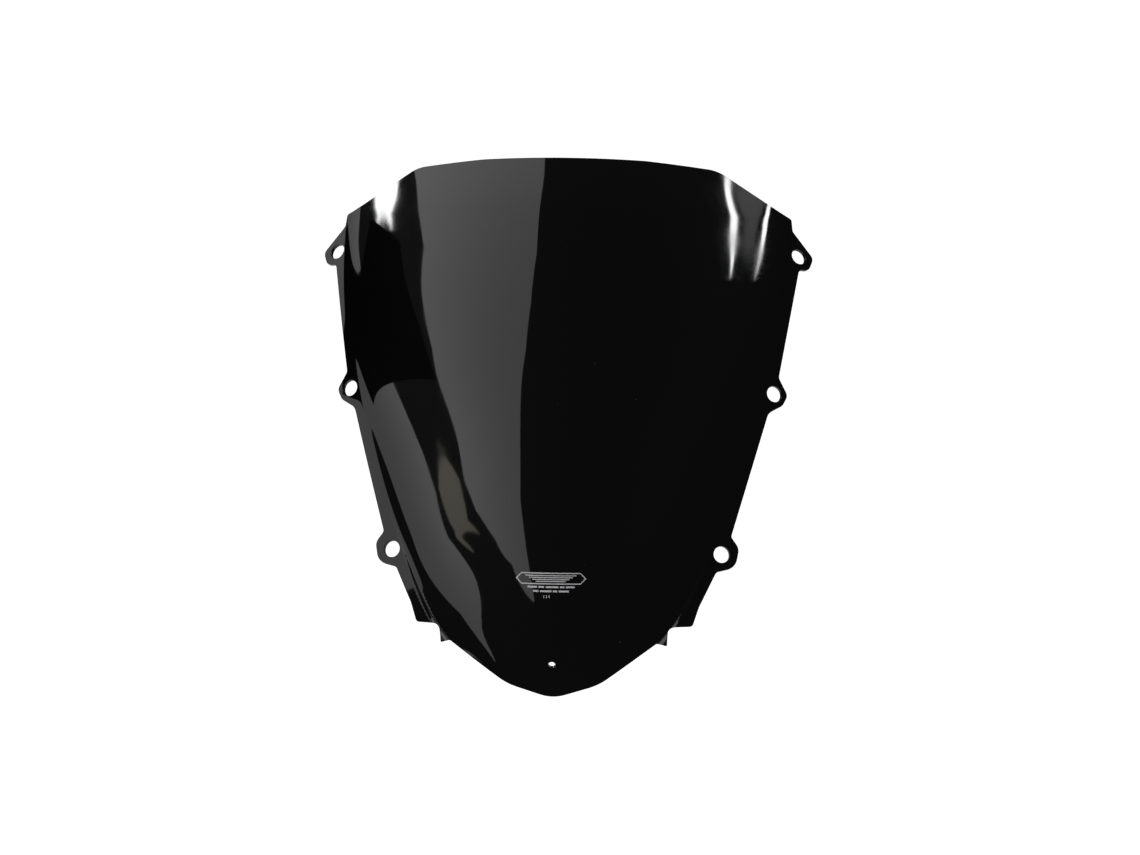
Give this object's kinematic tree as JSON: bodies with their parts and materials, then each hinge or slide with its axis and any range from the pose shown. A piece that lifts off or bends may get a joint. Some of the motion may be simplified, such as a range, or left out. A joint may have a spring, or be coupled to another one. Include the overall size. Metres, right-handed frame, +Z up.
{
  "type": "motorcycle windshield screen",
  "caption": "Thermoformed gloss-black windshield bubble with stepped side flanges, fixing ears and a nose screw hole.",
  "frame": {"origin": "centre of the nose hole on the outer face", "axes": "+X across the screen, -Y towards the front of the motorcycle, +Z up, with the screen raked as it is mounted"},
  "size_m": [0.373, 0.3287, 0.2825],
  "materials": {
    "pane": "polished opaque black acrylic",
    "ink": "silver-grey screen-printed ink"
  },
  "bodies": {
    "root": {"screen_pane": "pane", "emblem_print": "ink", "approval_bars_print": "ink", "tick_print": "ink"}
  },
  "joints": []
}
